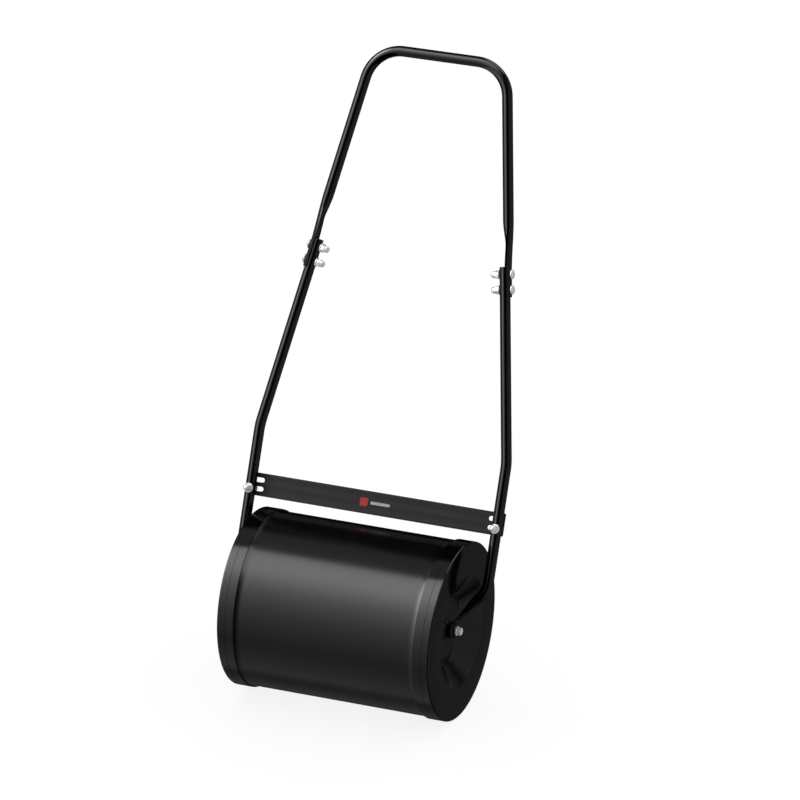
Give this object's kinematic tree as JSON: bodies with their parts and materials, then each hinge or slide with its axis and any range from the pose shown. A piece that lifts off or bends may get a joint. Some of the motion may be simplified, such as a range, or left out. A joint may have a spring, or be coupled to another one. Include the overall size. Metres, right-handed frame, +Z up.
{
  "type": "lawn roller",
  "caption": "Push-along lawn roller: a hollow water-fillable steel drum turning on a fixed axle, carried by a bolted U-shaped tube handle with a cross plate.",
  "frame": {"origin": "on the ground, straight under the middle of the drum's axle", "axes": "+Z up; +X along the drum's axis towards the right-hand end; +Y towards the side that the handle leans to"},
  "size_m": [0.488, 0.5635, 1.08],
  "materials": {
    "drum_paint": "satin black powder coat",
    "tube_paint": "gloss black powder coat",
    "plate_paint": "matt dark grey powder coat",
    "zinc": "bright zinc plate",
    "axle_steel": "turned bar",
    "nylon": "natural nylon",
    "plug_plastic": "moulded black plastic",
    "seal_rubber": "matt rubber"
  },
  "bodies": {
    "handle": {"lower_leg_left": "tube_paint", "lower_leg_right": "tube_paint", "upper_handle": "tube_paint", "cross_plate": "plate_paint", "joint_bolts": "zinc", "joint_washers": "zinc", "joint_nuts": "zinc", "plate_bolts": "zinc", "plate_washers": "zinc", "plate_nuts": "zinc", "axle_bolts": "zinc", "axle_washers": "zinc", "axle_spring_washers": "zinc", "axle_shaft": "axle_steel"},
    "drum": {"drum_shell": "drum_paint", "end_cap_left": "drum_paint", "end_cap_right": "drum_paint", "hub_welds": "drum_paint", "axle_sleeve": "drum_paint", "fill_boss": "drum_paint", "bush_left": "nylon", "bush_right": "nylon"},
    "plug": {"fill_plug": "plug_plastic", "plug_gasket": "seal_rubber"}
  },
  "joints": [
    {"name": "drum_spin", "type": "hinge", "parent": "handle", "child": "drum", "pos_m": [0, 0, 0.16], "axis": [1, 0, 0], "continuous": true},
    {"name": "plug_pull", "type": "slide", "parent": "drum", "child": "plug", "axis": [-1, 0, 0], "range_m": [0, 0.04]}
  ]
}
